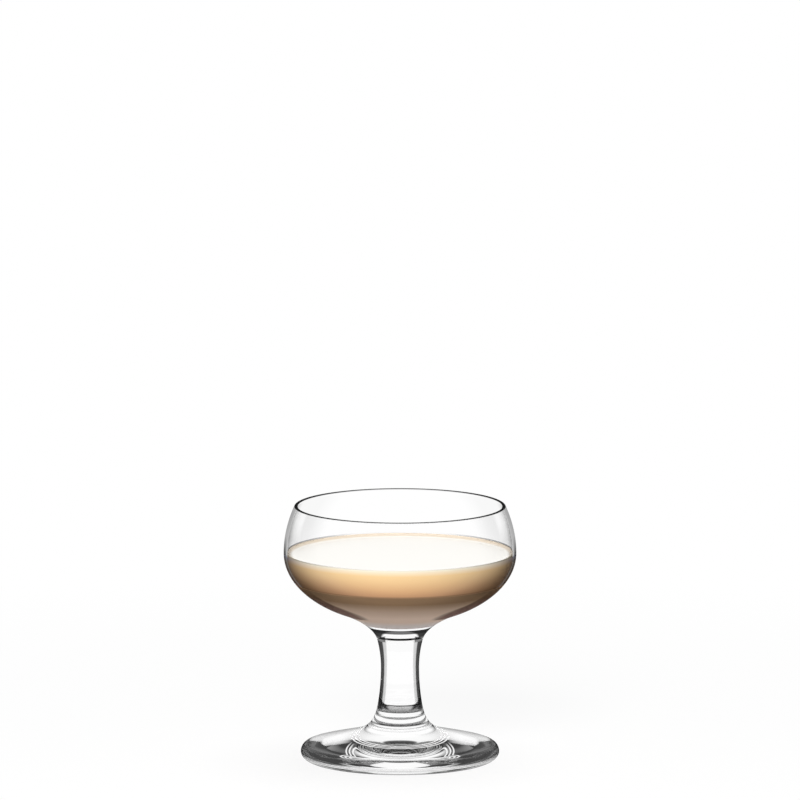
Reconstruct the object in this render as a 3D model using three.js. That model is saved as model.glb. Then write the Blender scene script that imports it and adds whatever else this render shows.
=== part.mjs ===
// Short-stemmed liqueur coupe with a measure of cream liqueur in it.
// Millimetres, +Z up; the origin is the middle of the plane that the foot stands on.
// Bowl, stem and foot are three turned pieces of clear glass, fused on two flat seams.
import * as THREE from "three";

// Foot
const FOOT_RADIUS = 27.75;
const FOOT_HEIGHT = 16.4;
const FOOT_EDGE_HEIGHT = 2.35;
const FOOT_EDGE_UNDERCUT = 3.35;
const FOOT_EDGE_ROUND = 2.05;
const FOOT_EDGE_RISE = 2.3;
const FOOT_SLOPE = THREE.MathUtils.degToRad(14.8);
const FOOT_SWEEP = 0.76;
const REST_WIDTH = 3.2;
const HOLLOW_RISE = 1.4;

// Stem
const STEM_LENGTH = 17.6;
const STEM_FOOT_RADIUS = 6.1;
const STEM_WAIST_RADIUS = 5.33;
const STEM_WAIST_HEIGHT = 9.7;
const STEM_BOWL_RADIUS = 6.35;

// Bowl
const BOWL_RADIUS = 32.5;
const BOWL_BASE = 5.05;
const BOWL_DEPTH = 19.45;
const BOWL_CROWN = 13.5;
const BOWL_WALL = 1.1;
const BOWL_FLOOR = 1.4;
const RIM_RADIUS = 29.6;
const FLARE_REACH = 10.2;
const FLARE_SWEEP_LOW = 0.47;
const FLARE_SWEEP_HIGH = 0.32;

// Liqueur, filled to the bowl's widest line
const LIQUEUR_CLEARANCE = 0.3;
const MENISCUS_RISE = 0.9;
const MENISCUS_REACH = 2.4;
const MENISCUS_LIP = 0.4;

// Facets
const TURN_STEPS = 64;
const CURVE_STEPS = 5;
const BELLY_STEPS = 10;
const SWEEP_STEPS = 12;
const SAME_POINT = 1e-4;

// Slopes of the stem where it meets its neighbours, as radius gained per height
const STEM_FOOT_SLOPE = 2 * (STEM_FOOT_RADIUS - STEM_WAIST_RADIUS) / STEM_WAIST_HEIGHT;
const STEM_BOWL_SLOPE = 2 * (STEM_BOWL_RADIUS - STEM_WAIST_RADIUS) / (STEM_LENGTH - STEM_WAIST_HEIGHT);

// Inside of the bowl, and its widest line above the seam with the stem
const INNER_RADIUS = BOWL_RADIUS - BOWL_WALL;
const INNER_DEPTH = BOWL_DEPTH - BOWL_FLOOR;
const WIDEST_HEIGHT = BOWL_BASE + BOWL_DEPTH;

const at = (radius, height) => new THREE.Vector2(radius, height);

// Joins [curve, steps] stretches end to end into the points of one outline; a line needs no steps.
function outline(stretches) {
  const points = stretches.flatMap(([curve, steps = 1]) => curve.getPoints(steps));
  return points.filter((point, i) => i === 0 || point.distanceTo(points[i - 1]) > SAME_POINT);
}

// Turns an outline, drawn as radius and height, about the +Z axis.
function turned(name, stretches, material) {
  const geometry = new THREE.LatheGeometry(outline(stretches), TURN_STEPS);
  geometry.rotateX(Math.PI / 2);
  const mesh = new THREE.Mesh(geometry, material);
  mesh.name = name;
  return mesh;
}

function clearGlass() {
  return new THREE.MeshStandardMaterial({
    color: 0xf1f5f4,
    roughness: 0.03,
    metalness: 0,
    transparent: true,
    opacity: 0.35,
  });
}

function creamLiqueur() {
  return new THREE.MeshStandardMaterial({ color: 0xdcb283, roughness: 0.3, metalness: 0 });
}

// Thick disc with a rounded edge; its top sweeps up to the stem and its underside is hollowed,
// so that it stands on a flat ring.
function makeFoot() {
  const restOuter = FOOT_RADIUS - FOOT_EDGE_UNDERCUT;
  const restInner = restOuter - REST_WIDTH;
  const hollow = new THREE.QuadraticBezierCurve(
    at(0, HOLLOW_RISE),
    at(restInner / 2, HOLLOW_RISE),
    at(restInner, 0),
  );
  const rest = new THREE.LineCurve(at(restInner, 0), at(restOuter, 0));
  const lowerEdge = new THREE.EllipseCurve(
    restOuter, FOOT_EDGE_HEIGHT, FOOT_EDGE_UNDERCUT, FOOT_EDGE_HEIGHT, -Math.PI / 2, 0,
  );
  const edgeEnd = Math.atan2(FOOT_EDGE_RISE, FOOT_EDGE_ROUND * Math.tan(FOOT_SLOPE));
  const upperEdge = new THREE.EllipseCurve(
    FOOT_RADIUS - FOOT_EDGE_ROUND, FOOT_EDGE_HEIGHT, FOOT_EDGE_ROUND, FOOT_EDGE_RISE, 0, edgeEnd,
  );
  const shoulder = upperEdge.getPoint(1);
  const seam = at(STEM_FOOT_RADIUS, FOOT_HEIGHT);
  const run = FOOT_SWEEP * (shoulder.x - seam.x);
  const drop = FOOT_SWEEP * (seam.y - shoulder.y);
  const sweep = new THREE.CubicBezierCurve(
    shoulder,
    at(shoulder.x - run, shoulder.y + run * Math.tan(FOOT_SLOPE)),
    at(seam.x + drop * STEM_FOOT_SLOPE, seam.y - drop),
    seam,
  );
  const top = new THREE.LineCurve(seam, at(0, FOOT_HEIGHT));
  const stretches = [
    [hollow, CURVE_STEPS], [rest], [lowerEdge, CURVE_STEPS], [upperEdge, CURVE_STEPS],
    [sweep, SWEEP_STEPS], [top],
  ];
  return turned("foot", stretches, clearGlass());
}

// Solid stem, drawn in to a waist between its two seams.
function makeStem() {
  const waist = at(STEM_WAIST_RADIUS, STEM_WAIST_HEIGHT);
  const bottom = new THREE.LineCurve(at(0, 0), at(STEM_FOOT_RADIUS, 0));
  const lower = new THREE.QuadraticBezierCurve(
    at(STEM_FOOT_RADIUS, 0),
    at(STEM_WAIST_RADIUS, STEM_WAIST_HEIGHT / 2),
    waist,
  );
  const upper = new THREE.QuadraticBezierCurve(
    waist,
    at(STEM_WAIST_RADIUS, (STEM_WAIST_HEIGHT + STEM_LENGTH) / 2),
    at(STEM_BOWL_RADIUS, STEM_LENGTH),
  );
  const top = new THREE.LineCurve(at(STEM_BOWL_RADIUS, STEM_LENGTH), at(0, STEM_LENGTH));
  const stretches = [[bottom], [lower, CURVE_STEPS], [upper, CURVE_STEPS], [top]];
  return turned("stem", stretches, clearGlass());
}

// A wall that leaves the widest line upright and leans in by a given angle where it ends.
function crownWall(start, end, lean) {
  const corner = at(start.x, end.y - (start.x - end.x) / Math.tan(lean));
  return new THREE.QuadraticBezierCurve(start, corner, end);
}

// Thin-walled bowl on a thick base: a flare from the stem, half an ellipse up to the widest line,
// and a crown that closes in to a rounded rim.
function makeBowl() {
  const seam = at(STEM_BOWL_RADIUS, 0);
  const flareRadius = STEM_BOWL_RADIUS + FLARE_REACH;
  const flareAngle = Math.acos(flareRadius / BOWL_RADIUS);
  const outerBelly = new THREE.EllipseCurve(
    0, WIDEST_HEIGHT, BOWL_RADIUS, BOWL_DEPTH, -flareAngle, 0,
  );
  const flareEnd = outerBelly.getPoint(0);
  const bellySlope = BOWL_DEPTH / (BOWL_RADIUS * Math.tan(flareAngle));
  const rise = FLARE_SWEEP_LOW * flareEnd.y;
  const run = FLARE_SWEEP_HIGH * FLARE_REACH;
  const flare = new THREE.CubicBezierCurve(
    seam,
    at(seam.x + rise * STEM_BOWL_SLOPE, rise),
    at(flareEnd.x - run, flareEnd.y - run * bellySlope),
    flareEnd,
  );
  const lip = BOWL_WALL / 2;
  const rim = at(RIM_RADIUS - lip, WIDEST_HEIGHT + BOWL_CROWN - lip);
  const lean = Math.atan2(2 * (BOWL_RADIUS - RIM_RADIUS), BOWL_CROWN - lip);
  const lipCurve = new THREE.EllipseCurve(rim.x, rim.y, lip, lip, lean, lean + Math.PI);
  const outerCrown = crownWall(at(BOWL_RADIUS, WIDEST_HEIGHT), lipCurve.getPoint(0), lean);
  const innerCrown = crownWall(at(INNER_RADIUS, WIDEST_HEIGHT), lipCurve.getPoint(1), lean);
  const innerDown = new THREE.QuadraticBezierCurve(innerCrown.v2, innerCrown.v1, innerCrown.v0);
  const innerBelly = new THREE.EllipseCurve(
    0, WIDEST_HEIGHT, INNER_RADIUS, INNER_DEPTH, 0, -Math.PI / 2, true,
  );
  const bottom = new THREE.LineCurve(at(0, 0), seam);
  const stretches = [
    [bottom], [flare, CURVE_STEPS], [outerBelly, BELLY_STEPS], [outerCrown, CURVE_STEPS],
    [lipCurve, CURVE_STEPS], [innerDown, CURVE_STEPS], [innerBelly, BELLY_STEPS],
  ];
  return turned("bowl", stretches, clearGlass());
}

// The drink follows the inside of the bowl and creeps up it in a meniscus.
function makeLiqueur() {
  const radius = INNER_RADIUS - LIQUEUR_CLEARANCE;
  const depth = INNER_DEPTH - LIQUEUR_CLEARANCE;
  const level = WIDEST_HEIGHT - MENISCUS_RISE;
  const belly = new THREE.EllipseCurve(0, WIDEST_HEIGHT, radius, depth, -Math.PI / 2, 0);
  const meniscus = new THREE.QuadraticBezierCurve(
    at(radius, WIDEST_HEIGHT),
    at(radius - MENISCUS_LIP, level),
    at(radius - MENISCUS_REACH, level),
  );
  const surface = new THREE.LineCurve(at(radius - MENISCUS_REACH, level), at(0, level));
  const stretches = [[belly, BELLY_STEPS], [meniscus, CURVE_STEPS], [surface]];
  return turned("liqueur", stretches, creamLiqueur());
}

// The bowl and its drink stand on the stem, and the stem on the foot.
const filledBowl = new THREE.Group();
filledBowl.position.z = STEM_LENGTH;
filledBowl.add(makeBowl(), makeLiqueur());

const onFoot = new THREE.Group();
onFoot.position.z = FOOT_HEIGHT;
onFoot.add(makeStem(), filledBowl);

const liqueurGlass = new THREE.Group();
liqueurGlass.add(makeFoot(), onFoot);

export default liqueurGlass;
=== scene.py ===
"""A filled liqueur glass, turned piece by piece and set on a white studio table.

Lengths are metres, in the frame of the packed part: +Z up, the foot standing on z = 0.
"""

import math
from collections import namedtuple

import bmesh
import bpy
from bpy.props import FloatProperty, FloatVectorProperty, IntProperty, PointerProperty
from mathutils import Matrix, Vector


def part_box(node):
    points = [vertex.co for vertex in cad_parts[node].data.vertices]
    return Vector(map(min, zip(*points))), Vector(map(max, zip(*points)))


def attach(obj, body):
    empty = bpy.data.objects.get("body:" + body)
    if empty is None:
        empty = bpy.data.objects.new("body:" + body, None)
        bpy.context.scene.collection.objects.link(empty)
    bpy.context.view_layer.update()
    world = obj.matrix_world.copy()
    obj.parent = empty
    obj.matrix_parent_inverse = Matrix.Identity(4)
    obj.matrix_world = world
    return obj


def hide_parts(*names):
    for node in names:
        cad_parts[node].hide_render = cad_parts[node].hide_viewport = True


bl_info = {
    "name": "Liqueur Glass",
    "version": (1, 0, 0),
    "blender": (4, 5, 0),
    "location": "View3D > Sidebar > Liqueur Glass",
    "description": "Turns a filled liqueur glass and sets it on a white studio table",
    "category": "Add Mesh",
}

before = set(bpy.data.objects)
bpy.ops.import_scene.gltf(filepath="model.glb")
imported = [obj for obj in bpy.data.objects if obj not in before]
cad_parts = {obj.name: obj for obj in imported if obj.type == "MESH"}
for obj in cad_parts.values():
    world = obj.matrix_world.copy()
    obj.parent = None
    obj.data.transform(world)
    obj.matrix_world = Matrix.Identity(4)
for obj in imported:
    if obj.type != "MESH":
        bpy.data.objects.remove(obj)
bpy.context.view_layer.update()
BODY = "root"
MM = 0.001
WELD = 1e-7
FLATNESS = 1e-6
SHARP_ANGLE = math.radians(35)

FOOT_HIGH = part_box("foot")[1]
STEM_LOW, STEM_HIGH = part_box("stem")
BOWL_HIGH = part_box("bowl")[1]

# Photograph: the frame's width, the glass's place in it and the distance it was taken from
PHOTO_WIDTH = 800
PHOTO_PIXELS_PER_METRE = 257.5 / 0.072
AIM_HEIGHT = 0.03635
AIM_ROW = 631.1
CAMERA_DISTANCE = 4.474
CAMERA_ELEVATION = math.radians(10.0)
SENSOR_WIDTH = 36.0
CAMERA_REACH = 50.0

# Steps along each curve
HOLLOW_STEPS = 24
LOWER_EDGE_STEPS = 24
UPPER_EDGE_STEPS = 20
SWEEP_STEPS = 70
STEM_STEPS = 30
FLARE_STEPS = 50
BELLY_STEPS = 40
CROWN_STEPS = 24
LIP_STEPS = 28
INNER_BELLY_STEPS = 60
DRINK_STEPS = 70
MENISCUS_STEPS = 24

# Where the drink's flat surface has a ring of points, as a share of its radius
SURFACE_RING = 0.5

# Stage: lamps, floor and light paths
LAMP_TARGET = (0.0, 0.0, 0.05)
KEY_PLACE = (-0.2, -1.02, 0.65)
KEY_SIZE = 0.4
TOP_PLACE = (0.1, 0.1, 1.2)
TOP_SIZE = 0.8
FLOOR_DROP = 0.05 * MM
BOUNCES = {"max_bounces": 32, "transmission_bounces": 24, "glossy_bounces": 12, "transparent_max_bounces": 32}


def length(name, description, default):
    """A size in metres that a user may change."""
    return FloatProperty(
        name=name, description=description, default=default, min=0.0, precision=5,
        subtype="DISTANCE", unit="LENGTH",
    )


def colour(name, description, default):
    """A colour that a user may change."""
    return FloatVectorProperty(
        name=name, description=description, default=default, size=3, min=0.0, max=1.0, subtype="COLOR",
    )


class FootSizes(bpy.types.PropertyGroup):
    """Sizes of the foot"""
    radius: length("Radius", "Widest radius of the foot", FOOT_HIGH.x)
    height: length("Height", "From the table to the seam with the stem", FOOT_HIGH.z)
    edge_height: length("Edge height", "Height of the foot's widest line", 2.35 * MM)
    edge_undercut: length("Edge undercut", "How far the edge draws in below", 3.35 * MM)
    edge_round: length("Edge round", "How far the edge draws in above", 2.05 * MM)
    edge_rise: length("Edge rise", "How far the edge's upper round rises", 2.3 * MM)
    slope: FloatProperty(
        name="Slope", description="Slope of the foot's top behind its edge",
        default=math.radians(14.8), subtype="ANGLE", unit="ROTATION",
    )
    sweep: FloatProperty(name="Sweep", description="Fullness of the sweep up to the stem", default=0.76)
    rest_width: length("Rest width", "Width of the flat standing ring", 3.2 * MM)
    hollow_rise: length("Hollow rise", "Depth of the hollow underneath", 1.4 * MM)
    rings_inner: length("Rings' inner radius", "Where the rings turned into the underside begin", 9.7 * MM)
    rings_outer: length("Rings' outer radius", "Where the rings turned into the underside end", 12.7 * MM)
    rings: IntProperty(
        name="Rings", description="Number of rings turned into the underside", default=3, min=0,
    )


class StemSizes(bpy.types.PropertyGroup):
    """Sizes of the stem"""
    foot_radius: length("Foot radius", "Radius at the seam with the foot", 6.1 * MM)
    waist_radius: length("Waist radius", "Least radius", 5.33 * MM)
    waist_height: length("Waist height", "Height of the waist above the foot's seam", 9.7 * MM)
    bowl_radius: length("Bowl radius", "Radius at the seam with the bowl", STEM_HIGH.x)
    length: length("Length", "From seam to seam", STEM_HIGH.z - STEM_LOW.z)


class BowlSizes(bpy.types.PropertyGroup):
    """Sizes of the bowl"""
    radius: length("Radius", "Widest radius of the bowl", BOWL_HIGH.x)
    base: length("Base", "From the seam with the stem to the belly's lowest level", 5.05 * MM)
    depth: length("Depth", "From the belly's lowest level to the widest line", 19.45 * MM)
    wall: length("Wall", "Thickness of the wall", 1.1 * MM)
    floor: length("Floor", "How much thicker the belly is at its lowest level", 1.4 * MM)
    rim_radius: length("Rim radius", "Outer radius of the rim", 29.6 * MM)
    flare_reach: length("Flare reach", "How far the flare runs out from the stem", 10.2 * MM)
    flare_low: FloatProperty(name="Flare low", description="Fullness at the stem", default=0.47)
    flare_high: FloatProperty(name="Flare high", description="Fullness at the belly", default=0.32)


class LiqueurSizes(bpy.types.PropertyGroup):
    """Sizes and colours of the drink"""
    wetting: length("Wetting", "How far the drink sinks into the wall, so that no air shows", 0.08 * MM)
    fill: length("Fill", "Height of the drink's edge above the bowl's widest line", 0.35 * MM)
    meniscus_rise: length("Meniscus rise", "How far the drink creeps up the wall", 0.85 * MM)
    meniscus_reach: length("Meniscus reach", "How far the meniscus reaches in", 2.4 * MM)
    meniscus_lip: length("Meniscus lip", "How far its steep part reaches in", 0.4 * MM)
    # The line is painted shade on the glass just above the drink's edge, darker towards the sides
    edge_shade_width: length("Wet line", "Width of the dark line on the glass above the drink's edge", 0.4 * MM)
    band_height: length("Band height", "Height of the line between the two tones", 51.1 * MM)
    cream: colour("Cream", "Colour of the surface", (0.97, 0.95, 0.90))
    peach: colour("Peach", "Colour of the drink's side below the surface", (0.97, 0.69, 0.36))
    amber: colour("Amber", "Colour of the side above the line", (0.84, 0.46, 0.235))
    coffee: colour("Coffee", "Colour of the lower tone", (0.30, 0.19, 0.11))
    mocha: colour("Mocha", "Colour low in the bowl", (0.82, 0.63, 0.51))
    milk: colour("Milk", "Colour at the very bottom", (0.84, 0.75, 0.71))
    crest: colour("Crest", "Colour of the side's upper edge", (0.97, 0.87, 0.70))
    tan: colour("Tan", "Colour of the edge that creeps up the wall", (0.78, 0.67, 0.54))
    brink: colour("Brink", "Colour of the line along the side's top", (0.85, 0.79, 0.67))


class GlassLook(bpy.types.PropertyGroup):
    """Fineness and optics of the glass"""
    segments: IntProperty(name="Segments", description="Steps round the turn", default=256, min=16)
    ior: FloatProperty(name="Refraction", description="Index of refraction", default=1.5, min=1.0)


class StageSettings(bpy.types.PropertyGroup):
    """Light and floor"""
    floor_radius: length("Floor radius", "Half the width of the floor", 4.0)
    floor_colour: colour("Floor colour", "Colour of the floor", (0.6, 0.6, 0.6))
    key_power: FloatProperty(name="Key power", description="The key lamp's power", default=12.0, unit="POWER")
    fill_power: FloatProperty(name="Top power", description="The top lamp's power", default=8.7, unit="POWER")
    ambient: FloatProperty(name="Ambient", description="Strength of the light from all round", default=0.06)


# Curves, as lists of (radius, height) points

def ellipse(centre, radii, start, end, steps):
    """Points along an ellipse from one angle to another."""
    points = []
    for i in range(steps + 1):
        angle = start + (end - start) * i / steps
        points.append((centre[0] + radii[0] * math.cos(angle), centre[1] + radii[1] * math.sin(angle)))
    return points


def bezier(controls, steps):
    """Points along a Bezier curve of any degree, by repeated blending."""
    points = []
    for i in range(steps + 1):
        t = i / steps
        level = [Vector(c) for c in controls]
        while len(level) > 1:
            level = [a.lerp(b, t) for a, b in zip(level, level[1:])]
        points.append((level[0].x, level[0].y))
    return points


def joined(*stretches):
    """One outline from stretches that meet end to end."""
    outline = []
    for stretch in stretches:
        for point in stretch:
            if not outline or (Vector(point) - Vector(outline[-1])).length > WELD:
                outline.append(point)
    return outline


def split_at(outline, heights):
    """The same rising outline with a point added at each of the given heights."""
    points = [outline[0]]
    for start, end in zip(outline, outline[1:]):
        for height in heights:
            if start[1] + WELD < height < end[1] - WELD:
                t = (height - start[1]) / (end[1] - start[1])
                points.append((start[0] + (end[0] - start[0]) * t, height))
        points.append(end)
    return points


# Geometry nodes that turn an outline about the upright axis

def node(tree, kind, **settings):
    """Adds a node and sets its properties."""
    made = tree.nodes.new(kind)
    for name, value in settings.items():
        setattr(made, name, value)
    return made


def math_node(tree, operation, *values):
    """A Math node whose inputs are sockets or numbers; returns its output."""
    made = node(tree, "ShaderNodeMath", operation=operation)
    for socket, value in zip(made.inputs, values):
        if isinstance(value, bpy.types.NodeSocket):
            tree.links.new(value, socket)
        else:
            socket.default_value = value
    return made.outputs[0]


def turning_tree():
    """Builds the tree once: a grid whose columns are copies of the outline, wound round the axis."""
    name = "Turned outline"
    if name in bpy.data.node_groups:
        return bpy.data.node_groups[name]
    tree = bpy.data.node_groups.new(name, "GeometryNodeTree")
    tree.interface.new_socket("Outline", in_out="INPUT", socket_type="NodeSocketGeometry")
    tree.interface.new_socket("Segments", in_out="INPUT", socket_type="NodeSocketInt")
    tree.interface.new_socket("Weld", in_out="INPUT", socket_type="NodeSocketFloat")
    tree.interface.new_socket("Finish", in_out="INPUT", socket_type="NodeSocketMaterial")
    tree.interface.new_socket("Piece", in_out="OUTPUT", socket_type="NodeSocketGeometry")
    link = tree.links.new
    given = node(tree, "NodeGroupInput")
    count = node(tree, "GeometryNodeAttributeDomainSize", component="MESH")
    link(given.outputs["Outline"], count.inputs["Geometry"])
    rows = count.outputs["Point Count"]
    grid = node(tree, "GeometryNodeMeshGrid")
    link(math_node(tree, "ADD", given.outputs["Segments"], 1), grid.inputs["Vertices X"])
    link(rows, grid.inputs["Vertices Y"])
    index = node(tree, "GeometryNodeInputIndex").outputs["Index"]
    column = math_node(tree, "FLOOR", math_node(tree, "DIVIDE", math_node(tree, "ADD", index, 0.5), rows))
    row = math_node(tree, "SUBTRACT", index, math_node(tree, "MULTIPLY", column, rows))
    turn = math_node(tree, "DIVIDE", column, given.outputs["Segments"])
    angle = math_node(tree, "MULTIPLY", turn, 2 * math.pi)
    sample = node(tree, "GeometryNodeSampleIndex", data_type="FLOAT_VECTOR", domain="POINT")
    link(given.outputs["Outline"], sample.inputs["Geometry"])
    link(node(tree, "GeometryNodeInputPosition").outputs["Position"], sample.inputs["Value"])
    link(row, sample.inputs["Index"])
    point = node(tree, "ShaderNodeSeparateXYZ")
    link(sample.outputs["Value"], point.inputs["Vector"])
    place = node(tree, "ShaderNodeCombineXYZ")
    link(math_node(tree, "MULTIPLY", point.outputs["X"], math_node(tree, "COSINE", angle)), place.inputs["X"])
    link(math_node(tree, "MULTIPLY", point.outputs["X"], math_node(tree, "SINE", angle)), place.inputs["Y"])
    link(point.outputs["Z"], place.inputs["Z"])
    wound = node(tree, "GeometryNodeSetPosition")
    link(grid.outputs["Mesh"], wound.inputs["Geometry"])
    link(place.outputs["Vector"], wound.inputs["Position"])
    welded = node(tree, "GeometryNodeMergeByDistance")
    link(wound.outputs["Geometry"], welded.inputs["Geometry"])
    link(given.outputs["Weld"], welded.inputs["Distance"])
    smooth = node(tree, "GeometryNodeSetShadeSmooth")
    link(welded.outputs["Geometry"], smooth.inputs["Geometry"])
    real = node(tree, "GeometryNodeRealizeInstances")
    link(smooth.outputs["Geometry"], real.inputs["Geometry"])
    finish = node(tree, "GeometryNodeSetMaterial")
    link(real.outputs["Geometry"], finish.inputs["Geometry"])
    link(given.outputs["Finish"], finish.inputs["Material"])
    result = node(tree, "NodeGroupOutput")
    link(finish.outputs["Geometry"], result.inputs["Piece"])
    return tree


def turned_piece(name, outline, segments, material):
    """Turns an outline into a closed piece and returns its object, a plain mesh."""
    profile = bpy.data.meshes.new(name + "_outline")
    edges = [(i, i + 1) for i in range(len(outline) - 1)]
    profile.from_pydata([(r, 0.0, z) for r, z in outline], edges, [])
    piece = bpy.data.objects.new(name, profile)
    bpy.context.scene.collection.objects.link(piece)
    tree = turning_tree()
    modifier = piece.modifiers.new("Turning", "NODES")
    modifier.node_group = tree
    inputs = {"Segments": segments, "Weld": WELD, "Finish": material}
    for item in tree.interface.items_tree:
        if item.in_out == "INPUT" and item.name in inputs:
            modifier[item.identifier] = inputs[item.name]
    depsgraph = bpy.context.evaluated_depsgraph_get()
    mesh = bpy.data.meshes.new_from_object(piece.evaluated_get(depsgraph))
    piece.modifiers.remove(modifier)
    piece.data = mesh
    bpy.data.meshes.remove(profile)
    mesh.name = name
    face_outwards(mesh, name)
    mesh.set_sharp_from_angle(angle=SHARP_ANGLE)
    return piece


def face_outwards(mesh, name):
    """Turns every face of a closed mesh outwards; a mesh that is empty or open is an error."""
    work = bmesh.new()
    work.from_mesh(mesh)
    if not work.faces or not all(edge.is_manifold for edge in work.edges):
        work.free()
        raise RuntimeError(name + " did not turn into a closed piece")
    bmesh.ops.recalc_face_normals(work, faces=work.faces)
    work.to_mesh(mesh)
    work.free()


def stand_for(piece, cad_node):
    """Puts a finished piece on the part's body in place of its CAD node."""
    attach(piece, BODY)
    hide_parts(cad_node)


# Materials

def new_material(name):
    """An empty node material with its output; returns the material, its tree and the output."""
    material = bpy.data.materials.new(name)
    material.use_nodes = True
    material.node_tree.nodes.clear()
    output = node(material.node_tree, "ShaderNodeOutputMaterial")
    return material, material.node_tree, output


def ramp(tree, factor, stops, interpolation="LINEAR"):
    """A colour ramp with (position, colour) stops; a colour may be one grey value."""
    made = node(tree, "ShaderNodeValToRGB")
    made.color_ramp.interpolation = interpolation
    elements = made.color_ramp.elements
    while len(elements) < len(stops):
        elements.new(1.0)
    for element, (position, value) in zip(elements, stops):
        element.position = position
        shade = (value, value, value) if isinstance(value, (int, float)) else tuple(value)
        element.color = (*shade, 1.0)
    tree.links.new(factor, made.inputs["Fac"])
    return made.outputs["Color"]


def span(tree, value, start, end, low=0.0, high=1.0):
    """Maps a stretch of a value to another stretch, held at its ends."""
    made = node(tree, "ShaderNodeMapRange")
    tree.links.new(value, made.inputs["Value"])
    for name, number in (("From Min", start), ("From Max", end), ("To Min", low), ("To Max", high)):
        made.inputs[name].default_value = number
    return made.outputs["Result"]


def object_height(tree):
    """The height in a material's Object coordinates."""
    axes = node(tree, "ShaderNodeSeparateXYZ")
    tree.links.new(node(tree, "ShaderNodeTexCoord").outputs["Object"], axes.inputs["Vector"])
    return axes.outputs["Z"]


# Ways of clear glass: the shader for light from outside, the one for light from inside, and whether the
# edge tones, which are painted shade, dim the inside too
GLASS, REFRACTION, CLEAR = "ShaderNodeBsdfGlass", "ShaderNodeBsdfRefraction", "ShaderNodeBsdfTransparent"
Way = namedtuple("Way", "outside inside dims_inside")
GLOSSY = Way(GLASS, GLASS, False)
BENDING = Way(REFRACTION, CLEAR, False)
PIPING = Way(REFRACTION, GLASS, False)
STRAIGHT = Way(CLEAR, CLEAR, False)
# Painted shade on both faces, for the lip's dark rim
SHADED_THROUGH = Way(CLEAR, CLEAR, True)

# A finish of clear glass, up to a height on its piece. Its tones are painted shade, pairs of how far edge on
# the glass is seen and how bright it is there; mirror gives its share of mirroring in the same way; low_tones
# are its tones at its lower end, and lift is how much further edge on the tones begin at that end, fading
# upwards by the power
# LIFT_FADE.
Finish = namedtuple("Finish", "name top tones way mirror low_tones lift", defaults=(None, None, 0.0))
LIFT_FADE = 2.0


def clear_glass(finish, bottom=0.0):
    """The material of a finish of clear glass, which begins at a height.

    Glass darkens towards its edges against a bright background; the tones paint that shade, and some dark
    lines and a highlight, into its colour. Lamps and soft light pass straight through to what lies inside."""
    material, tree, output = new_material(finish.name)
    link = tree.links.new
    facing = node(tree, "ShaderNodeLayerWeight").outputs["Facing"]
    below = span(tree, object_height(tree), bottom, finish.top, 1.0, 0.0)
    lifted = math_node(tree, "MULTIPLY", math_node(tree, "POWER", below, LIFT_FADE), finish.lift)
    edge = math_node(tree, "SUBTRACT", facing, lifted)
    # The tone is painted shade: it darkens the glass's colour by how edge on the glass is seen
    tone = ramp(tree, edge, finish.tones)
    if finish.low_tones:
        blend = node(tree, "ShaderNodeMix", data_type="RGBA")
        link(below, blend.inputs["Factor"])
        link(tone, blend.inputs["A"])
        link(ramp(tree, edge, finish.low_tones), blend.inputs["B"])
        tone = blend.outputs["Result"]
    sides = node(tree, "ShaderNodeMixShader")
    link(node(tree, "ShaderNodeNewGeometry").outputs["Backfacing"], sides.inputs["Fac"])
    for slot, kind in ((1, finish.way.outside), (2, finish.way.inside)):
        glass = node(tree, kind)
        glass.inputs["Color"].default_value = (1, 1, 1, 1)
        if kind != CLEAR:
            glass.inputs["IOR"].default_value = bpy.context.scene.glass_look.ior
            glass.inputs["Roughness"].default_value = 0.0
        if slot == 1 or finish.way.dims_inside:
            link(tone, glass.inputs["Color"])
        link(glass.outputs["BSDF"], sides.inputs[slot])
    shader = sides.outputs["Shader"]
    if finish.mirror:
        mirror = node(tree, "ShaderNodeBsdfGlossy")
        mirror.inputs["Roughness"].default_value = 0.0
        polish = node(tree, "ShaderNodeMixShader")
        link(ramp(tree, facing, finish.mirror), polish.inputs["Fac"])
        link(shader, polish.inputs[1])
        link(mirror.outputs["BSDF"], polish.inputs[2])
        shader = polish.outputs["Shader"]
    pass_light(tree, shader, output)
    return material


def pass_light(tree, shader, output):
    """Shows a shader, but lets lamps and soft light straight through to what lies inside."""
    lamp_way = node(tree, CLEAR)
    path = node(tree, "ShaderNodeLightPath")
    lit = math_node(tree, "MAXIMUM", path.outputs["Is Shadow Ray"], path.outputs["Is Diffuse Ray"])
    mix = node(tree, "ShaderNodeMixShader")
    tree.links.new(lit, mix.inputs["Fac"])
    tree.links.new(shader, mix.inputs[1])
    tree.links.new(lamp_way.outputs["BSDF"], mix.inputs[2])
    tree.links.new(mix.outputs["Shader"], output.inputs["Surface"])


def ringed_underside():
    """The foot's underside: clear glass with turned rings, which let light down instead of mirroring it."""
    sizes = bpy.context.scene.foot_sizes
    material, tree, output = new_material("Foot underside")
    link = tree.links.new
    level = node(tree, "ShaderNodeVectorMath", operation="MULTIPLY")
    level.inputs[1].default_value = (1, 1, 0)
    link(node(tree, "ShaderNodeTexCoord").outputs["Object"], level.inputs[0])
    radius = node(tree, "ShaderNodeVectorMath", operation="LENGTH")
    link(level.outputs["Vector"], radius.inputs[0])
    count = span(tree, radius.outputs["Value"], sizes.rings_inner, sizes.rings_outer, 0.0, sizes.rings)
    glass = node(tree, GLASS)
    glass.inputs["IOR"].default_value = bpy.context.scene.glass_look.ior
    glass.inputs["Roughness"].default_value = 0.0
    mirrors = node(tree, "ShaderNodeFresnel")
    mirrors.inputs["IOR"].default_value = bpy.context.scene.glass_look.ior
    wave = ramp(tree, math_node(tree, "FRACT", count), RING_WAVE)
    rings = node(tree, "ShaderNodeMixShader")
    link(math_node(tree, "MULTIPLY", wave, mirrors.outputs["Fac"]), rings.inputs["Fac"])
    link(glass.outputs["BSDF"], rings.inputs[1])
    link(node(tree, CLEAR).outputs["BSDF"], rings.inputs[2])
    pass_light(tree, rings.outputs["Shader"], output)
    return material


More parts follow.
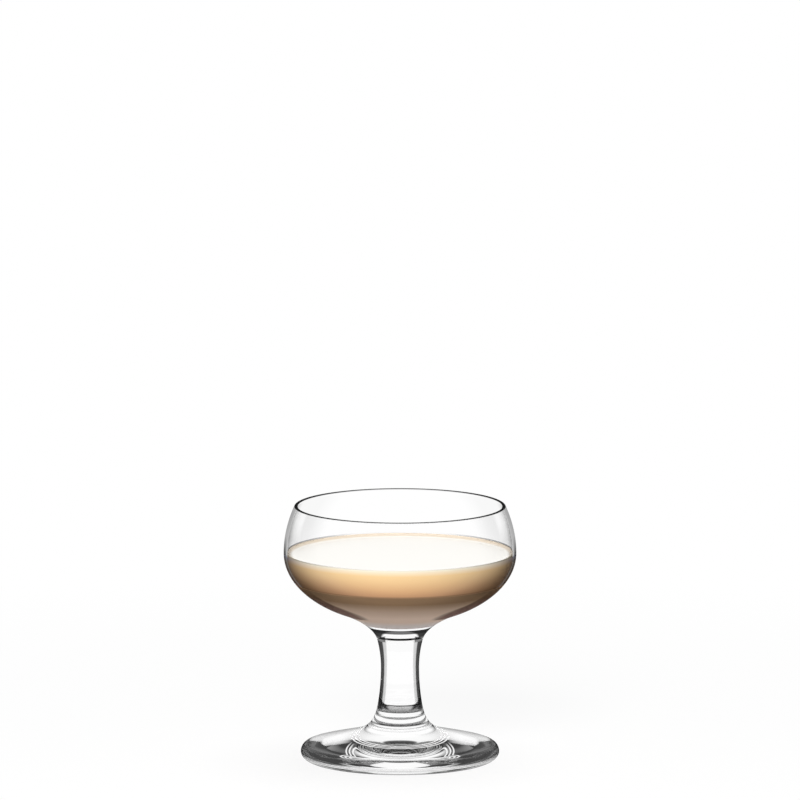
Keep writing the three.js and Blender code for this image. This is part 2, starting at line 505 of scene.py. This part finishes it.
def fused_seam():
    """The hidden faces where two pieces of glass are fused: light goes straight through."""
    name = "Fused seam"
    if name in bpy.data.materials:
        return bpy.data.materials[name]
    material, tree, output = new_material(name)
    clear = node(tree, CLEAR)
    tree.links.new(clear.outputs["BSDF"], output.inputs["Surface"])
    return material


def give(piece, material, chosen):
    """Gives a material to the faces of a piece that a test chooses."""
    piece.data.materials.append(material)
    slot = len(piece.data.materials) - 1
    for face in piece.data.polygons:
        if chosen(face):
            face.material_index = slot


def fuse(piece, *heights):
    """Gives the piece's flat faces at the given heights the fused seam's material."""
    give(piece, fused_seam(), lambda face: any(abs(face.center.z - height) < FLATNESS for height in heights))


# Gloss of the drink's open surface, and how matt its side is
CREAM_ROUGHNESS = 0.25
CREAM_IOR = 1.35
SIDE_ROUGHNESS = 0.6


def liqueur_surface(level):
    """The drink's open surface at a level: pale, smooth cream with a tan edge where it creeps up the wall."""
    sizes = bpy.context.scene.liqueur_sizes
    material, tree, output = new_material("Liqueur surface")
    creep = span(tree, object_height(tree), level, level + sizes.meniscus_rise)
    stops = ((0.0, sizes.cream), (0.08, sizes.cream), (0.3, sizes.tan), (1.0, sizes.tan))
    principled = node(tree, "ShaderNodeBsdfPrincipled")
    tree.links.new(ramp(tree, creep, stops), principled.inputs["Base Color"])
    principled.inputs["Roughness"].default_value = CREAM_ROUGHNESS
    principled.inputs["IOR"].default_value = CREAM_IOR
    tree.links.new(principled.outputs["BSDF"], output.inputs["Surface"])
    return material


# Heights in millimetres between which the drink's side has its tones, and half the width of their line
SIDE_LOW, SIDE_HIGH = 40.0, 60.0
BAND_BLUR = 0.3

# Greys of the drink by height in millimetres, for rays that glass has turned more often than the belly does:
# painted dark and light bands that the stem and foot show
BELLY_TURNS, HEEL_TURNS = 1.0, 2.0
HEEL_TONES = (
    (40.4, 0.1), (41.2, 0.12), (41.35, 0.8), (41.6, 0.8), (41.75, 0.12), (42.5, 0.12), (42.7, 1.0),
    (43.5, 1.0), (43.8, 0.1),
)


def liqueur_side():
    """The drink's side against the glass, in two tones with no gloss of its own."""
    sizes = bpy.context.scene.liqueur_sizes
    material, tree, output = new_material("Liqueur side")
    link = tree.links.new
    band = sizes.band_height / MM
    stops = (
        (41.0, sizes.milk), (42.2, sizes.mocha), (43.9, sizes.mocha), (48.8, sizes.coffee),
        (band - BAND_BLUR, sizes.coffee), (band + BAND_BLUR, sizes.amber), (57.2, sizes.peach),
        (58.65, sizes.crest), (58.8, sizes.brink),
    )
    height = span(tree, object_height(tree), SIDE_LOW * MM, SIDE_HIGH * MM)
    tones, heel = (
        ramp(tree, height, [((stop - SIDE_LOW) / (SIDE_HIGH - SIDE_LOW), shade) for stop, shade in heights])
        for heights in (stops, HEEL_TONES)
    )
    # Through the stem and foot the drink shows painted dark and light bands instead of its colours
    path = node(tree, "ShaderNodeLightPath")
    seen = node(tree, "ShaderNodeMix", data_type="RGBA")
    link(span(tree, path.outputs["Ray Depth"], BELLY_TURNS, HEEL_TURNS), seen.inputs["Factor"])
    link(tones, seen.inputs["A"])
    link(heel, seen.inputs["B"])
    principled = node(tree, "ShaderNodeBsdfPrincipled")
    link(seen.outputs["Result"], principled.inputs["Base Color"])
    principled.inputs["Roughness"].default_value = SIDE_ROUGHNESS
    principled.inputs["Specular IOR Level"].default_value = 0.0
    link(principled.outputs["BSDF"], output.inputs["Surface"])
    return material


# One ring of the underside from one hollow to the next, 1 where light goes straight down
RING_WAVE = ((0.0, 0.0), (0.22, 0.0), (0.3, 0.9), (0.66, 0.9), (0.74, 0.0), (1.0, 0.0))

# Edge tones, painted shade that darkens the glass's colour, from seen face on, 0, to seen edge on, 1
INSIDE_TONES = ((0.0, 1.0), (0.3, 1.0), (0.45, 0.94), (0.75, 0.94), (1.0, 0.6))
FOOT_TONES = ((0.0, 1.0), (0.82, 1.0), (0.93, 0.5), (1.0, 0.35))
FOOT_EDGE_TONES = ((0.0, 1.0), (0.5, 1.0), (0.62, 0.5), (1.0, 0.4))
# Painted dark rings round the foot, and painted shade in its collar, neck and arc
RING_TONES = ((0.0, 0.38), (1.0, 0.38))
GREY_BAND_TONES = ((0.0, 0.5), (1.0, 0.5))
COLLAR_TONES = ((0.0, 1.0), (0.45, 1.0), (0.58, 0.38), (1.0, 0.3))
NECK_TONES = (
    (0.0, 0.62), (0.24, 0.62), (0.3, 0.8), (0.38, 0.35), (0.46, 0.12), (0.6, 0.1), (0.8, 0.4), (1.0, 0.5),
)
NECK_LOW_TONES = ((0.0, 0.14), (0.3, 0.14), (0.42, 0.2), (0.6, 0.2), (0.8, 0.3), (1.0, 0.4))
ARC_TONES = ((0.0, 0.14), (0.36, 0.14), (0.42, 0.1), (0.6, 0.06), (1.0, 0.1))
STEM_TONES = ((0.0, 1.0), (0.27, 1.0), (0.31, 0.66), (0.42, 0.62), (0.46, 0.08), (1.0, 0.05))
# Painted shade of the flare under the bowl: a dark line, a dark band and dark sides, with clear stretches
# between
LINE_TONES = ((0.0, 0.01), (0.3, 0.01), (0.38, 0.14), (1.0, 0.12))
SHADE_TONES = ((0.0, 0.18), (0.51, 0.17), (0.545, 0.03), (1.0, 0.01))
FLARE_TONES = ((0.0, 1.0), (0.75, 1.0), (0.9, 0.3), (1.0, 0.2))
MIDDLE_TONES = ((0.0, 1.0), (0.5, 1.0), (0.56, 0.05), (1.0, 0.02))
# Painted shade of the drink as the bowl shows it, darker towards its sides and lower edge; the bluish stops
# near 0.8 in the band's tones are a painted reflection
BELLY_TONES = (
    (0.0, 1.0), (0.695, 1.0), (0.715, 0.5), (0.735, (0.33, 0.28, 0.29)), (0.9, (0.3, 0.26, 0.28)), (1.0, 0.3),
)
BELLY_MIRROR = ((0.0, 0.0), (0.9, 0.0), (0.95, 0.12), (0.98, 0.25), (1.0, 0.4))
HIGH_BELLY_TONES = (
    (0.0, 1.0), (0.4, 1.0), (0.5, 0.8), (0.63, 0.53), (0.72, 0.5), (0.8, 0.55), (0.88, (0.62, 0.62, 0.68)),
    (1.0, (0.62, 0.62, 0.7)),
)
BAND_TONES = (
    (0.0, 1.0), (0.09, 1.0), (0.2, 0.96), (0.31, (0.9, 0.9, 0.93)), (0.42, (0.8, 0.79, 0.82)),
    (0.6, (0.54, 0.52, 0.56)), (0.74, (0.28, 0.27, 0.36)), (0.77, (0.2, 0.2, 0.3)),
    (0.79, (0.32, 0.42, 0.66)), (0.81, (0.16, 0.18, 0.28)), (0.85, (0.14, 0.16, 0.26)),
    (1.0, (0.2, 0.23, 0.4)),
)
BAND_LOW_TONES = (
    (0.0, 1.0), (0.09, 1.0), (0.2, 0.92), (0.31, (0.76, 0.77, 0.82)), (0.42, (0.54, 0.54, 0.58)),
    (0.6, (0.27, 0.28, 0.29)), (0.75, 0.16), (0.785, 0.16), (0.805, (0.27, 0.38, 0.64)),
    (0.825, (0.15, 0.17, 0.22)), (0.85, (0.14, 0.15, 0.2)), (1.0, (0.2, 0.23, 0.35)),
)
BAND_MIRROR = ((0.0, 0.0), (0.72, 0.0), (0.78, 0.05), (0.82, 0.05), (0.86, 0.0), (1.0, 0.0))
# Painted shade of the crown towards its edges; in the top tones the clear stretch from 0.53 to 0.57 is a
# painted highlight
LOW_CROWN_TONES = ((0.0, 1.0), (0.6, 1.0), (0.68, 0.72), (0.75, 0.6), (0.79, 0.4), (0.83, 0.1), (1.0, 0.08))
MID_CROWN_TONES = (
    (0.0, 1.0), (0.29, 1.0), (0.37, 0.96), (0.52, 0.88), (0.62, 0.76), (0.72, 0.5), (1.0, 0.36),
)
TOP_CROWN_TONES = (
    (0.0, 1.0), (0.25, 1.0), (0.38, 0.92), (0.49, 0.88), (0.53, 1.0), (0.57, 1.0), (0.65, 0.85), (0.74, 0.63),
    (0.78, 0.42), (1.0, 0.34),
)
DRINK_LINE_TONES = (
    (0.0, 1.0), (0.08, 0.97), (0.15, 0.9), (0.3, 0.74), (0.42, 0.6), (0.7, 0.4), (0.78, 0.4), (0.83, 0.1),
    (1.0, 0.08),
)
# Painted shade on the glass just above the drink's edge, dark where it is seen edge on
EDGE_SHADE_TONES = ((0.0, 1.0), (0.1, 0.97), (0.25, 0.6), (0.4, 0.45), (0.7, 0.33), (1.0, 0.3))
# Painted shade of the lip, nearly black where it is seen edge on
LIP_TONES = ((0.0, 0.75), (0.15, 0.6), (0.32, 0.2), (0.5, 0.05), (0.8, 0.015), (1.0, 0.01))

# Finishes of each piece from its lower end up, each with its own painted shade
FOOT_FINISHES = (
    Finish("Foot edge", 1.0 * MM, FOOT_EDGE_TONES, GLOSSY),
    Finish("Foot glass", 10.7 * MM, FOOT_TONES, PIPING),
    Finish("Foot ring", 11.15 * MM, RING_TONES, PIPING),
    Finish("Foot throat", 12.82 * MM, FOOT_TONES, PIPING),
    Finish("Foot score", 13.08 * MM, GREY_BAND_TONES, PIPING),
    Finish("Foot collar", 14.15 * MM, COLLAR_TONES, PIPING),
    Finish("Foot neck", 16.0 * MM, NECK_TONES, PIPING, low_tones=NECK_LOW_TONES),
    Finish("Foot arc", 16.33 * MM, ARC_TONES, PIPING),
    Finish("Foot top", 16.4 * MM, STEM_TONES, PIPING),
)
STEM_FINISH = Finish("Stem glass", 34.0 * MM, STEM_TONES, PIPING)
BOWL_FINISHES = (
    Finish("Flare foot", 34.75 * MM, FLARE_TONES, STRAIGHT),
    Finish("Flare line", 35.4 * MM, LINE_TONES, STRAIGHT),
    Finish("Flare middle", 36.75 * MM, MIDDLE_TONES, STRAIGHT),
    Finish("Flare shade", 38.0 * MM, SHADE_TONES, STRAIGHT),
    Finish("Flare top", 38.7 * MM, FLARE_TONES, STRAIGHT),
    Finish("Belly", 46.5 * MM, BELLY_TONES, BENDING, mirror=BELLY_MIRROR, lift=0.5),
    Finish("High belly", 50.8 * MM, HIGH_BELLY_TONES, BENDING, mirror=BELLY_MIRROR, low_tones=BELLY_TONES),
    Finish("Drink band", 58.85 * MM, BAND_TONES, BENDING, mirror=BAND_MIRROR, low_tones=BAND_LOW_TONES),
    Finish("Drink line", 59.2 * MM, DRINK_LINE_TONES, STRAIGHT),
    Finish("Low crown", 64.0 * MM, MID_CROWN_TONES, STRAIGHT, low_tones=LOW_CROWN_TONES),
    Finish("High crown", 69.0 * MM, TOP_CROWN_TONES, STRAIGHT, low_tones=MID_CROWN_TONES),
    Finish("Top crown", 71.72 * MM, TOP_CROWN_TONES, STRAIGHT),
    Finish("Lip", BOWL_HIGH.z, LIP_TONES, SHADED_THROUGH),
)
INSIDE_FINISH = Finish("Bowl inside", BOWL_HIGH.z, INSIDE_TONES, STRAIGHT)
EDGE_SHADE_FINISH = Finish("Wet line", BOWL_HIGH.z, EDGE_SHADE_TONES, STRAIGHT)


def finish_outside(piece, finishes, bottom):
    """Gives a turned piece's outside its finishes, one above the other from its bottom."""
    for finish in finishes:
        material = clear_glass(finish, bottom)
        give(piece, material, lambda face: bottom < face.center.z < finish.top and looks_out(face))
        bottom = finish.top


class LIQUEURGLASS_OT_foot(bpy.types.Operator):
    """Turn the foot"""
    bl_idname = "liqueurglass.foot"
    bl_label = "Foot"

    def execute(self, context):
        scene = context.scene
        size, stem = scene.foot_sizes, scene.stem_sizes
        rest_outer = size.radius - size.edge_undercut
        rest_inner = rest_outer - size.rest_width
        hollow = bezier([
            (0, size.hollow_rise), (rest_inner / 2, size.hollow_rise), (rest_inner, 0),
        ], HOLLOW_STEPS)
        lower_edge = ellipse(
            (rest_outer, size.edge_height), (size.edge_undercut, size.edge_height),
            -math.pi / 2, 0, LOWER_EDGE_STEPS,
        )
        edge_end = math.atan2(size.edge_rise, size.edge_round * math.tan(size.slope))
        upper_edge = ellipse(
            (size.radius - size.edge_round, size.edge_height), (size.edge_round, size.edge_rise),
            0, edge_end, UPPER_EDGE_STEPS,
        )
        shoulder, seam = upper_edge[-1], (stem.foot_radius, size.height)
        run = size.sweep * (shoulder[0] - seam[0])
        drop = size.sweep * (seam[1] - shoulder[1])
        stem_slope = 2 * (stem.foot_radius - stem.waist_radius) / stem.waist_height
        sweep = bezier([
            shoulder,
            (shoulder[0] - run, shoulder[1] + run * math.tan(size.slope)),
            (seam[0] + drop * stem_slope, seam[1] - drop),
            seam,
        ], SWEEP_STEPS)
        sweep = split_at(sweep, [finish.top for finish in FOOT_FINISHES])
        outline = joined(hollow, lower_edge, upper_edge, sweep, [(0, size.height)])
        piece = turned_piece("foot_glass", outline, scene.glass_look.segments, ringed_underside())
        finish_outside(piece, FOOT_FINISHES, 0.0)
        fuse(piece, size.height)
        stand_for(piece, "foot")
        return {"FINISHED"}


class LIQUEURGLASS_OT_stem(bpy.types.Operator):
    """Turn the stem"""
    bl_idname = "liqueurglass.stem"
    bl_label = "Stem"

    def execute(self, context):
        scene = context.scene
        size = scene.stem_sizes
        low = scene.foot_sizes.height
        waist, high = low + size.waist_height, low + size.length
        lower = bezier([
            (size.foot_radius, low),
            (size.waist_radius, low + size.waist_height / 2),
            (size.waist_radius, waist),
        ], STEM_STEPS)
        upper = bezier([
            (size.waist_radius, waist), (size.waist_radius, (waist + high) / 2), (size.bowl_radius, high),
        ], STEM_STEPS)
        outline = joined([(0, low)], lower, upper, [(0, high)])
        glass = clear_glass(STEM_FINISH)
        piece = turned_piece("stem_glass", outline, scene.glass_look.segments, glass)
        fuse(piece, low, high)
        stand_for(piece, "stem")
        return {"FINISHED"}


class LIQUEURGLASS_OT_bowl(bpy.types.Operator):
    """Turn the bowl"""
    bl_idname = "liqueurglass.bowl"
    bl_label = "Bowl"

    def execute(self, context):
        scene = context.scene
        size, stem = scene.bowl_sizes, scene.stem_sizes
        seam_height = scene.foot_sizes.height + stem.length
        widest = seam_height + size.base + size.depth
        inner_radius, inner_depth = size.radius - size.wall, size.depth - size.floor
        flare_radius = stem.bowl_radius + size.flare_reach
        flare_angle = math.acos(flare_radius / size.radius)
        belly = ellipse((0, widest), (size.radius, size.depth), -flare_angle, 0, BELLY_STEPS)
        belly_slope = size.depth / (size.radius * math.tan(flare_angle))
        stem_slope = 2 * (stem.bowl_radius - stem.waist_radius) / (stem.length - stem.waist_height)
        seam, flare_end = (stem.bowl_radius, seam_height), belly[0]
        rise = size.flare_low * (flare_end[1] - seam_height)
        run = size.flare_high * size.flare_reach
        flare = bezier([
            seam,
            (seam[0] + rise * stem_slope, seam[1] + rise),
            (flare_end[0] - run, flare_end[1] - run * belly_slope),
            flare_end,
        ], FLARE_STEPS)
        lip = size.wall / 2
        rim = (size.rim_radius - lip, BOWL_HIGH.z - lip)
        lean = math.atan2(2 * (size.radius - size.rim_radius), rim[1] - widest)
        lip_curve = ellipse(rim, (lip, lip), lean, lean + math.pi, LIP_STEPS)
        crown = bezier(crown_wall((size.radius, widest), lip_curve[0], lean), CROWN_STEPS)
        inner_crown = bezier(crown_wall((inner_radius, widest), lip_curve[-1], lean), CROWN_STEPS)
        inner_belly = ellipse((0, widest), (inner_radius, inner_depth), 0, -math.pi / 2, INNER_BELLY_STEPS)
        outside = split_at(joined(flare, belly, crown), [finish.top for finish in BOWL_FINISHES])
        drink = scene.liqueur_sizes
        # Where the painted shade line sits on the inner wall
        edge_shade_low = widest + drink.fill
        edge_shade_high = edge_shade_low + drink.edge_shade_width
        inside = split_at(inner_crown, (edge_shade_low, edge_shade_high))[::-1]
        outline = joined([(0, seam_height)], outside, lip_curve, inside, inner_belly)
        glass = clear_glass(INSIDE_FINISH)
        piece = turned_piece("bowl_glass", outline, scene.glass_look.segments, glass)
        finish_outside(piece, BOWL_FINISHES[:-1], seam_height)
        give(piece, clear_glass(BOWL_FINISHES[-1]), lambda face: face.center.z > BOWL_FINISHES[-2].top)
        give(piece, clear_glass(EDGE_SHADE_FINISH),
             lambda face: edge_shade_low < face.center.z < edge_shade_high and not looks_out(face))
        fuse(piece, seam_height)
        stand_for(piece, "bowl")
        return {"FINISHED"}


def looks_out(face):
    """Whether a face of a turned piece points away from the axis."""
    return face.normal.x * face.center.x + face.normal.y * face.center.y > 0.0


def crown_wall(start, end, lean):
    """Controls of a wall that leaves the widest line upright and ends leaning in."""
    return [start, (start[0], end[1] - (start[0] - end[0]) / math.tan(lean)), end]


class LIQUEURGLASS_OT_liqueur(bpy.types.Operator):
    """Pour the drink"""
    bl_idname = "liqueurglass.liqueur"
    bl_label = "Liqueur"

    def execute(self, context):
        scene = context.scene
        size, bowl = scene.liqueur_sizes, scene.bowl_sizes
        widest = scene.foot_sizes.height + scene.stem_sizes.length + bowl.base + bowl.depth
        radius = bowl.radius - bowl.wall + size.wetting
        depth = bowl.depth - bowl.floor + size.wetting
        edge = widest + size.fill
        level = edge - size.meniscus_rise
        belly = ellipse((0, widest), (radius, depth), -math.pi / 2, 0, DRINK_STEPS)
        meniscus = bezier([
            (radius, edge), (radius - size.meniscus_lip, level), (radius - size.meniscus_reach, level),
        ], MENISCUS_STEPS)
        outline = joined(belly, meniscus, [(radius * SURFACE_RING, level), (0, level)])
        piece = turned_piece("liqueur_drink", outline, scene.glass_look.segments, liqueur_side())
        give(piece, liqueur_surface(level), lambda face: face.normal.z > 0.0)
        stand_for(piece, "liqueur")
        return {"FINISHED"}


# Stage

# The floor's share of plain white near the glass, the distances in metres between which that rises to all
# of it, and the colour of the rest as the camera sees it
FLOOR_GLOW = 0.85
SHADOW_NEAR = 0.06
SHADOW_FAR = 0.3
SEEN_FLOOR = (0.98, 0.98, 0.98)

# The studio's walls as glass shows them, by half of one plus the cosine of the turn away from the backdrop
STUDIO_TONES = ((0.0, 0.2), (0.1, 0.25), (0.63, 0.17), (0.735, 0.05), (0.905, 0.05), (0.957, 1.0), (1.0, 1.0))
# How far down the walls reach, how far up the ceiling begins, and how bright the ceiling is
WALLS_FROM, WALLS_FULL = -0.9, -0.8
CEILING_FROM, CEILING_FULL, CEILING_TONE = 0.70, 0.77, 0.1
# How many turns a ray has had when the walls don't show yet, and when they do
WALLS_UNSEEN, WALLS_SEEN = 4.0, 5.0


def seen_ray(tree):
    """Two values: 1 for rays from the camera, and 1 for rays by which it sees through or in glass."""
    path = node(tree, "ShaderNodeLightPath")
    by_glass = math_node(tree, "MAXIMUM", path.outputs["Is Glossy Ray"], path.outputs["Is Transmission Ray"])
    plain = math_node(tree, "LESS_THAN", path.outputs["Diffuse Depth"], 0.5)
    return path.outputs["Is Camera Ray"], math_node(tree, "MULTIPLY", by_glass, plain)


def white_floor(colour_value):
    """A matt pale floor, white to the camera but for the object's shadow; glass shows what is behind."""
    material, tree, output = new_material("White floor")
    link = tree.links.new
    camera, by_glass = seen_ray(tree)
    matt = node(tree, "ShaderNodeBsdfDiffuse")
    tones = node(tree, "ShaderNodeMix", data_type="RGBA")
    tones.inputs["A"].default_value = (*colour_value, 1.0)
    tones.inputs["B"].default_value = (*SEEN_FLOOR, 1.0)
    link(camera, tones.inputs["Factor"])
    link(tones.outputs["Result"], matt.inputs["Color"])
    glow = node(tree, "ShaderNodeEmission")
    open_way = node(tree, CLEAR)
    place = node(tree, "ShaderNodeTexCoord")
    reach = node(tree, "ShaderNodeVectorMath", operation="LENGTH")
    link(place.outputs["Object"], reach.inputs[0])
    share = span(tree, reach.outputs["Value"], SHADOW_NEAR, SHADOW_FAR, FLOOR_GLOW, 1.0)
    direct = node(tree, "ShaderNodeMixShader")
    link(math_node(tree, "MULTIPLY", camera, share), direct.inputs["Fac"])
    link(matt.outputs["BSDF"], direct.inputs[1])
    link(glow.outputs["Emission"], direct.inputs[2])
    through = node(tree, "ShaderNodeMixShader")
    link(by_glass, through.inputs["Fac"])
    link(direct.outputs["Shader"], through.inputs[1])
    link(open_way.outputs["BSDF"], through.inputs[2])
    link(through.outputs["Shader"], output.inputs["Surface"])
    return material


def studio_world(scene, ambient):
    """White for the camera and through glass, under a dark ceiling; soft light for all else.

    Glass shows the walls only in what it mirrors or has turned often."""
    world = bpy.data.worlds.new("Studio")
    world.use_nodes = True
    tree = world.node_tree
    tree.nodes.clear()
    link = tree.links.new
    direction = node(tree, "ShaderNodeTexCoord")
    axes = node(tree, "ShaderNodeSeparateXYZ")
    link(direction.outputs["Generated"], axes.inputs["Vector"])
    x, y, z = (axes.outputs[axis] for axis in "XYZ")
    squares = [math_node(tree, "MULTIPLY", axis, axis) for axis in (x, y)]
    across = math_node(tree, "SQRT", math_node(tree, "ADD", *squares))
    turn = math_node(tree, "MULTIPLY_ADD", math_node(tree, "DIVIDE", y, across), 0.5, 0.5)
    sides = math_node(tree, "SUBTRACT", 1.0, ramp(tree, turn, STUDIO_TONES))
    path = node(tree, "ShaderNodeLightPath")
    mirrored = math_node(tree, "SUBTRACT", path.outputs["Is Glossy Ray"], path.outputs["Is Transmission Ray"])
    turned = span(tree, path.outputs["Ray Depth"], WALLS_UNSEEN, WALLS_SEEN)
    bent = math_node(tree, "MAXIMUM", turned, mirrored)
    share = math_node(tree, "MULTIPLY", bent, span(tree, z, WALLS_FROM, WALLS_FULL))
    walls = math_node(tree, "SUBTRACT", 1.0, math_node(tree, "MULTIPLY", sides, share))
    ceiling = span(tree, z, CEILING_FROM, CEILING_FULL, 1.0, CEILING_TONE)
    level = math_node(tree, "MULTIPLY", walls, ceiling)
    studio = node(tree, "ShaderNodeBackground")
    link(level, studio.inputs["Strength"])
    studio.inputs["Color"].default_value = (1, 1, 1, 1)
    light = node(tree, "ShaderNodeBackground")
    light.inputs["Strength"].default_value = ambient
    white = node(tree, "ShaderNodeBackground")
    white.inputs["Color"].default_value = (1, 1, 1, 1)
    camera, by_glass = seen_ray(tree)
    through = node(tree, "ShaderNodeMixShader")
    link(by_glass, through.inputs["Fac"])
    link(light.outputs["Background"], through.inputs[1])
    link(studio.outputs["Background"], through.inputs[2])
    direct = node(tree, "ShaderNodeMixShader")
    link(camera, direct.inputs["Fac"])
    link(through.outputs["Shader"], direct.inputs[1])
    link(white.outputs["Background"], direct.inputs[2])
    output = node(tree, "ShaderNodeOutputWorld")
    link(direct.outputs["Shader"], output.inputs["Surface"])
    scene.world = world


def area_lamp(scene, name, place, size, power):
    """A square lamp that points at the glass and shows in none of it."""
    lamp = bpy.data.lights.new(name, "AREA")
    lamp.shape = "SQUARE"
    lamp.size = size
    lamp.energy = power
    lamp_object = bpy.data.objects.new(name, lamp)
    lamp_object.location = place
    lamp_object.rotation_euler = (Vector(LAMP_TARGET) - Vector(place)).to_track_quat("-Z", "Y").to_euler()
    lamp_object.visible_glossy = False
    lamp_object.visible_transmission = False
    scene.collection.objects.link(lamp_object)


def photo_camera(scene):
    """A camera at the photograph's viewing angle, with the glass where the photograph has it."""
    camera = bpy.data.cameras.new("Camera")
    camera.sensor_width = SENSOR_WIDTH
    focal_pixels = CAMERA_DISTANCE * PHOTO_PIXELS_PER_METRE
    camera.lens = focal_pixels / PHOTO_WIDTH * SENSOR_WIDTH
    camera.clip_end = CAMERA_REACH
    camera_object = bpy.data.objects.new("Camera", camera)
    back = Vector((0.0, -math.cos(CAMERA_ELEVATION), math.sin(CAMERA_ELEVATION)))
    camera_object.location = Vector((0.0, 0.0, AIM_HEIGHT)) + back * CAMERA_DISTANCE
    drop = math.atan((AIM_ROW - PHOTO_WIDTH / 2) / focal_pixels)
    camera_object.rotation_euler = (math.pi / 2 - CAMERA_ELEVATION + drop, 0.0, 0.0)
    scene.collection.objects.link(camera_object)
    scene.camera = camera_object


class LIQUEURGLASS_OT_stage(bpy.types.Operator):
    """Set the floor, the lamps, the world and the camera"""
    bl_idname = "liqueurglass.stage"
    bl_label = "Stage"

    def execute(self, context):
        scene = context.scene
        stage = scene.stage_settings
        half = stage.floor_radius
        level = -FLOOR_DROP
        mesh = bpy.data.meshes.new("floor")
        corners = [(-half, -half, level), (half, -half, level), (half, half, level), (-half, half, level)]
        mesh.from_pydata(corners, [], [(0, 1, 2, 3)])
        mesh.materials.append(white_floor(stage.floor_colour))
        floor = bpy.data.objects.new("floor", mesh)
        scene.collection.objects.link(floor)
        area_lamp(scene, "key_lamp", KEY_PLACE, KEY_SIZE, stage.key_power)
        area_lamp(scene, "top_lamp", TOP_PLACE, TOP_SIZE, stage.fill_power)
        studio_world(scene, stage.ambient)
        photo_camera(scene)
        scene.view_settings.view_transform = "Standard"
        for kind, count in BOUNCES.items():
            setattr(scene.cycles, kind, count)
        return {"FINISHED"}


class LIQUEURGLASS_PT_sidebar(bpy.types.Panel):
    """Lists the pieces and their sizes"""
    bl_idname = "LIQUEURGLASS_PT_sidebar"
    bl_label = "Liqueur Glass"
    bl_space_type = "VIEW_3D"
    bl_region_type = "UI"
    bl_category = "Liqueur Glass"

    def draw(self, context):
        for group, group_name in GROUPS.items():
            box = self.layout.box()
            box.label(text=group.__doc__)
            settings = getattr(context.scene, group_name)
            for name in group.__annotations__:
                box.prop(settings, name)
        for operator in OPERATORS:
            self.layout.operator(operator.bl_idname)


GROUPS = {
    FootSizes: "foot_sizes",
    StemSizes: "stem_sizes",
    BowlSizes: "bowl_sizes",
    LiqueurSizes: "liqueur_sizes",
    GlassLook: "glass_look",
    StageSettings: "stage_settings",
}
OPERATORS = (
    LIQUEURGLASS_OT_foot,
    LIQUEURGLASS_OT_stem,
    LIQUEURGLASS_OT_bowl,
    LIQUEURGLASS_OT_liqueur,
    LIQUEURGLASS_OT_stage,
)


def register():
    """Registers the classes and puts their settings on the scene."""
    for group, name in GROUPS.items():
        bpy.utils.register_class(group)
        setattr(bpy.types.Scene, name, PointerProperty(type=group))
    for operator in OPERATORS:
        bpy.utils.register_class(operator)
    bpy.utils.register_class(LIQUEURGLASS_PT_sidebar)


def unregister():
    """Takes back what register did."""
    bpy.utils.unregister_class(LIQUEURGLASS_PT_sidebar)
    for operator in reversed(OPERATORS):
        bpy.utils.unregister_class(operator)
    for group, name in reversed(GROUPS.items()):
        delattr(bpy.types.Scene, name)
        bpy.utils.unregister_class(group)


def main():
    """Makes the glass and its stage."""
    register()
    bpy.ops.liqueurglass.stage()
    bpy.ops.liqueurglass.foot()
    bpy.ops.liqueurglass.stem()
    bpy.ops.liqueurglass.bowl()
    bpy.ops.liqueurglass.liqueur()


if __name__ == "__main__":
    main()
